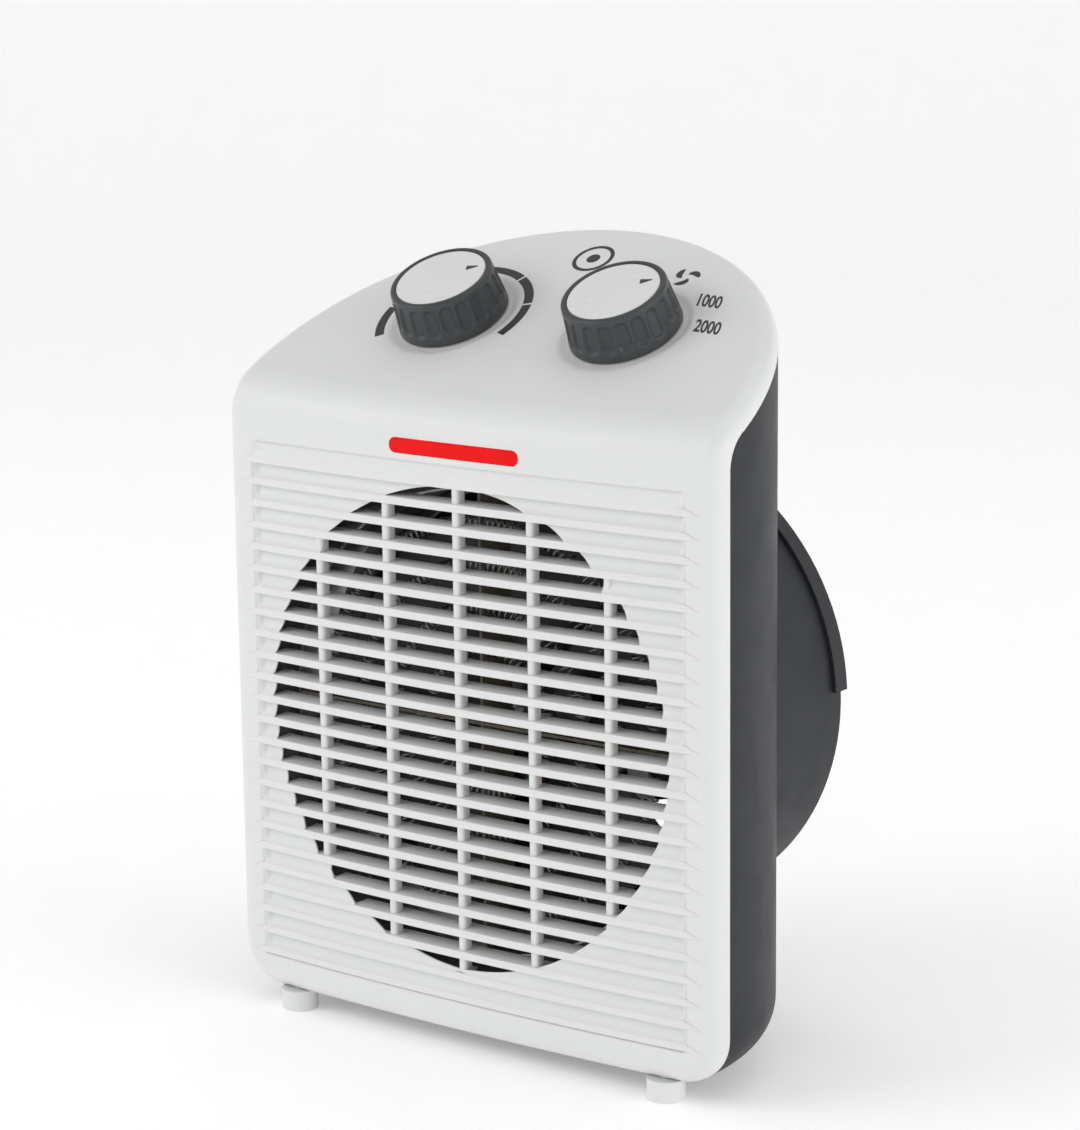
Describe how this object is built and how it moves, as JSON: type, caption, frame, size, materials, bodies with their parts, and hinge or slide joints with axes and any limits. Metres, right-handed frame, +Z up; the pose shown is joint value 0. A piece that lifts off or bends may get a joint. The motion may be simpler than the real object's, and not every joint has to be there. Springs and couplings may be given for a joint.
{
  "type": "fan convector heater",
  "caption": "Small upright fan heater: white louvred front and sloping control plate with two dark knobs, dark rear shell with a round intake drum, pegs for feet.",
  "frame": {"origin": "middle of the bounding box's footprint, at floor level, below the feet", "axes": "+Z up, -Y towards the air outlet, +X to the right as seen from the front"},
  "size_m": [0.197, 0.106, 0.2628],
  "materials": {
    "white_shell": "fine satin moulded ABS, white",
    "white_grille": "fine satin moulded ABS, white",
    "white_cap": "smooth satin white",
    "dark_shell": "fine textured dark grey ABS",
    "dark_knob": "satin dark grey ABS",
    "dark_fan": "heat-resistant dark grey plastic",
    "duct_grey": "dark grey heat-resistant plastic",
    "red_lens": "clear red polycarbonate",
    "lamp_glass": "clear glass with a neon fill",
    "pale_plastic": "cream nylon",
    "black_plastic": "black phenolic",
    "zinc_steel": "zinc-plated steel",
    "lamination_steel": "stacked silicon-steel sheet",
    "shaft_steel": "ground steel",
    "band_steel": "plain steel strip",
    "brass_parts": "plain brass",
    "coil_wire": "resistance wire",
    "mica": "pressed mica sheet",
    "winding": "taped copper winding",
    "fuse_body": "small ceramic-sealed case"
  },
  "bodies": {
    "casing": {"front_housing": "white_shell", "outlet_grille": "white_grille", "rear_shell": "dark_shell", "rear_intake_grille": "dark_shell", "front_feet": "white_shell", "rear_feet": "dark_shell", "housing_screws": "zinc_steel", "cord_gland": "black_plastic", "indicator_lens": "red_lens", "neon_lamp": "lamp_glass", "lamp_holder": "pale_plastic", "air_duct": "duct_grey", "motor_spider": "duct_grey", "spider_screws": "zinc_steel", "heater_band": "band_steel", "heating_coils": "coil_wire", "mica_board_level": "mica", "mica_board_upright": "mica", "heater_terminals": "brass_parts", "thermal_cutout": "black_plastic", "thermal_fuse": "fuse_body", "motor_stator": "lamination_steel", "motor_coil": "winding", "front_motor_bearing": "zinc_steel", "rear_motor_bearing": "zinc_steel", "motor_spacers": "zinc_steel", "motor_screws": "zinc_steel", "thermostat": "pale_plastic", "selector_switch": "black_plastic", "control_nuts": "brass_parts", "terminal_block": "pale_plastic"},
    "fan": {"fan_impeller": "dark_fan", "fan_clip": "zinc_steel", "motor_shaft": "shaft_steel", "motor_rotor": "lamination_steel"},
    "thermostat_control": {"thermostat_knob": "dark_knob", "thermostat_knob_cap": "white_cap", "thermostat_spindle": "shaft_steel"},
    "selector_control": {"selector_knob": "dark_knob", "selector_knob_cap": "white_cap", "selector_spindle": "shaft_steel"}
  },
  "joints": [
    {"name": "fan_spin", "type": "hinge", "parent": "casing", "child": "fan", "pos_m": [0, 0, 0.11], "axis": [0, 1, 0], "continuous": true},
    {"name": "thermostat_knob_turn", "type": "hinge", "parent": "casing", "child": "thermostat_control", "pos_m": [-0.0347, -0.0057, 0.2379], "axis": [0, -0.4695, 0.8829], "range_deg": [-57, 178]},
    {"name": "selector_knob_turn", "type": "hinge", "parent": "casing", "child": "selector_control", "pos_m": [0.0347, -0.0057, 0.2379], "axis": [0, -0.4695, 0.8829], "range_deg": [-37, 77]}
  ]
}
